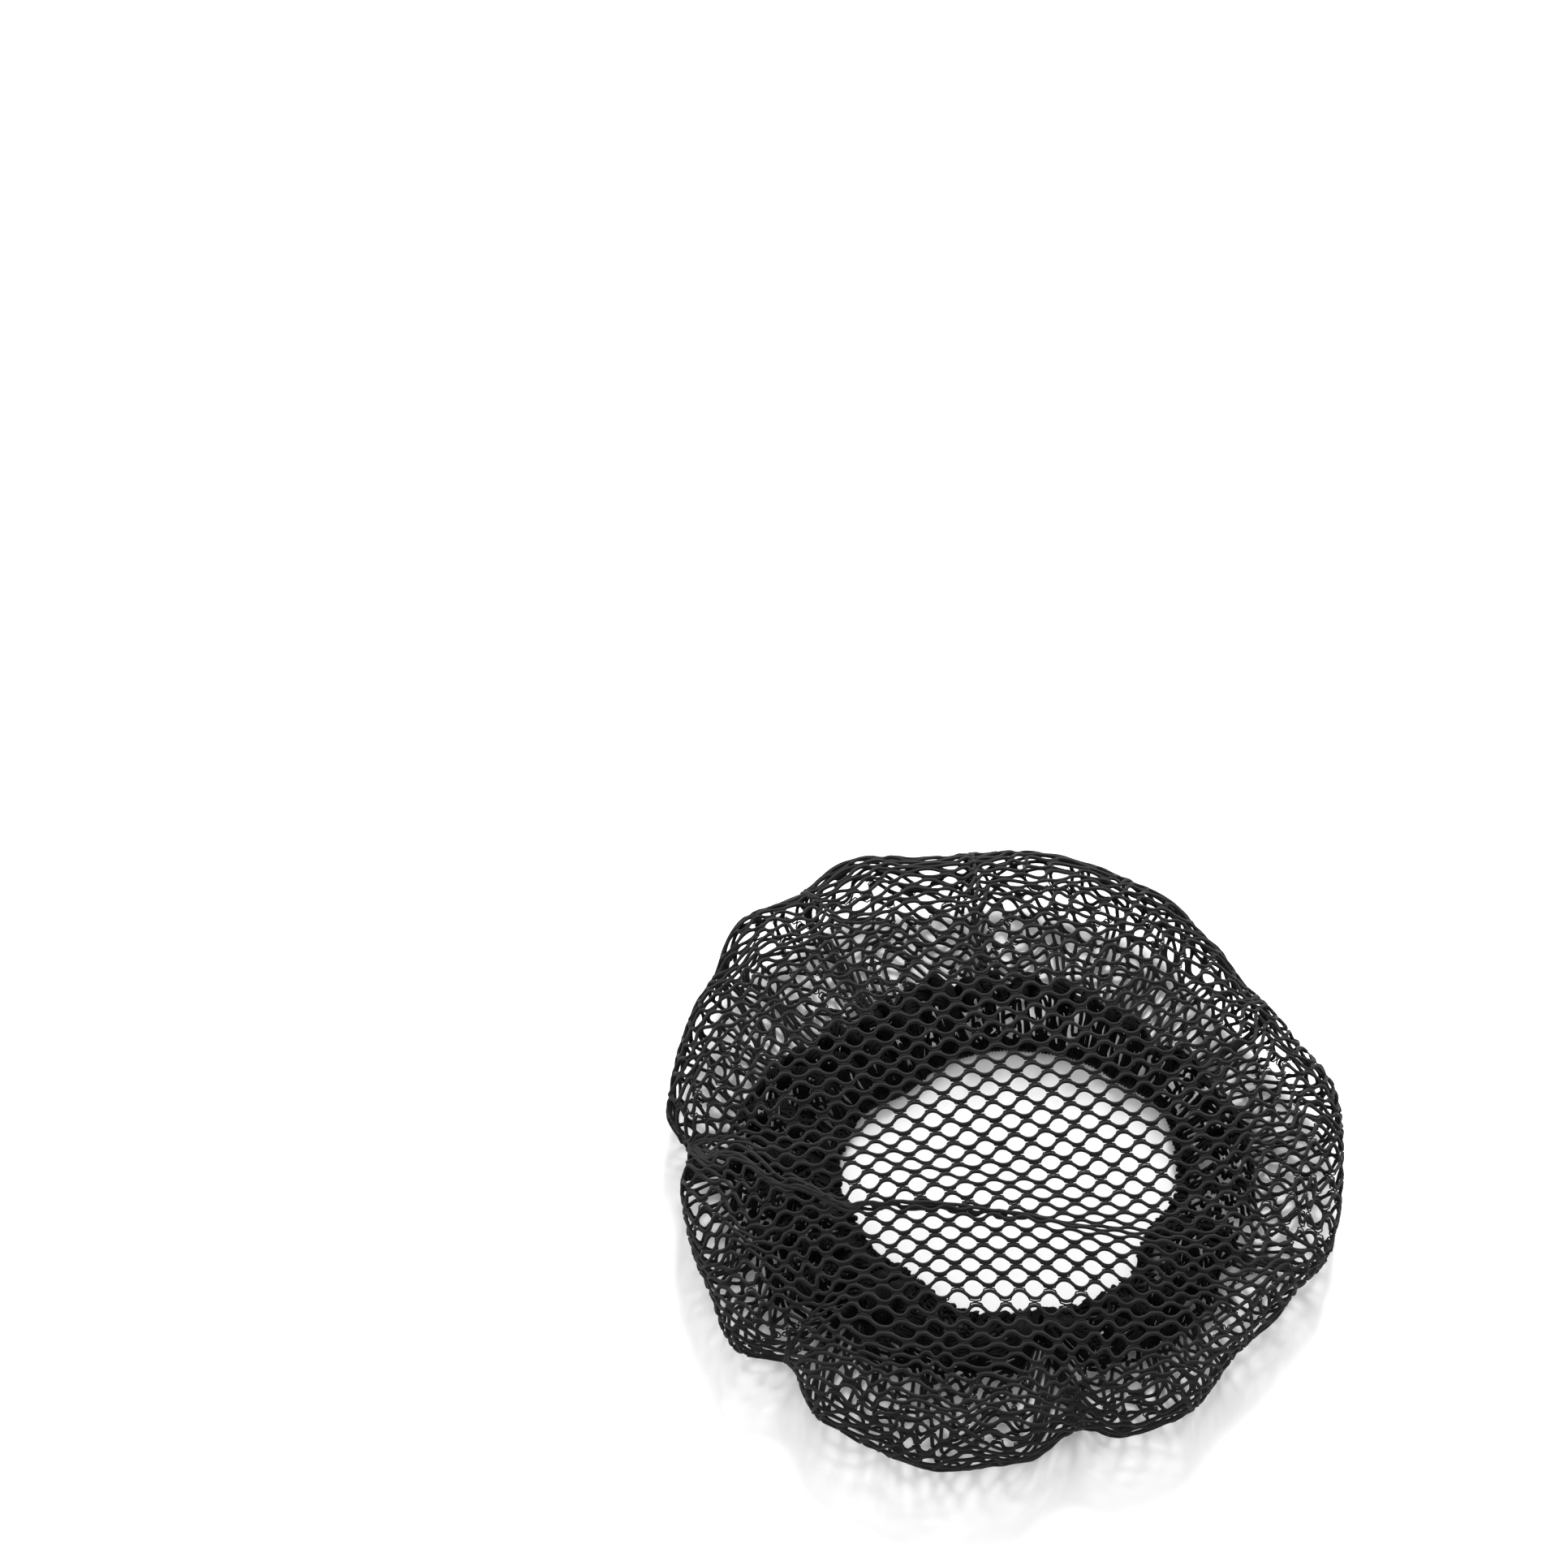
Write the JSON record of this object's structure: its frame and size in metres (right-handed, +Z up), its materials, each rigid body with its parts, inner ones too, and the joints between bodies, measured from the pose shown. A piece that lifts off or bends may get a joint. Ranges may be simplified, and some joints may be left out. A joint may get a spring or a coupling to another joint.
{
  "type": "crochet hair snood",
  "caption": "Soft openwork net bag for the hair, lying crown up on its gathered mouth, which an elastic band draws in.",
  "frame": {"origin": "under the middle of the bag, on the surface that it lies on", "axes": "+Z up through the crown, +X to the right and -Y to the front as the snood lies in the picture"},
  "size_m": [0.1978, 0.2052, 0.0398],
  "materials": {
    "net_yarn": "matte black knitted cord",
    "elastic_yarn": "matte black yarn over elastic"
  },
  "bodies": {
    "root": {"net_bag": "net_yarn", "elastic_band": "elastic_yarn"}
  },
  "joints": []
}
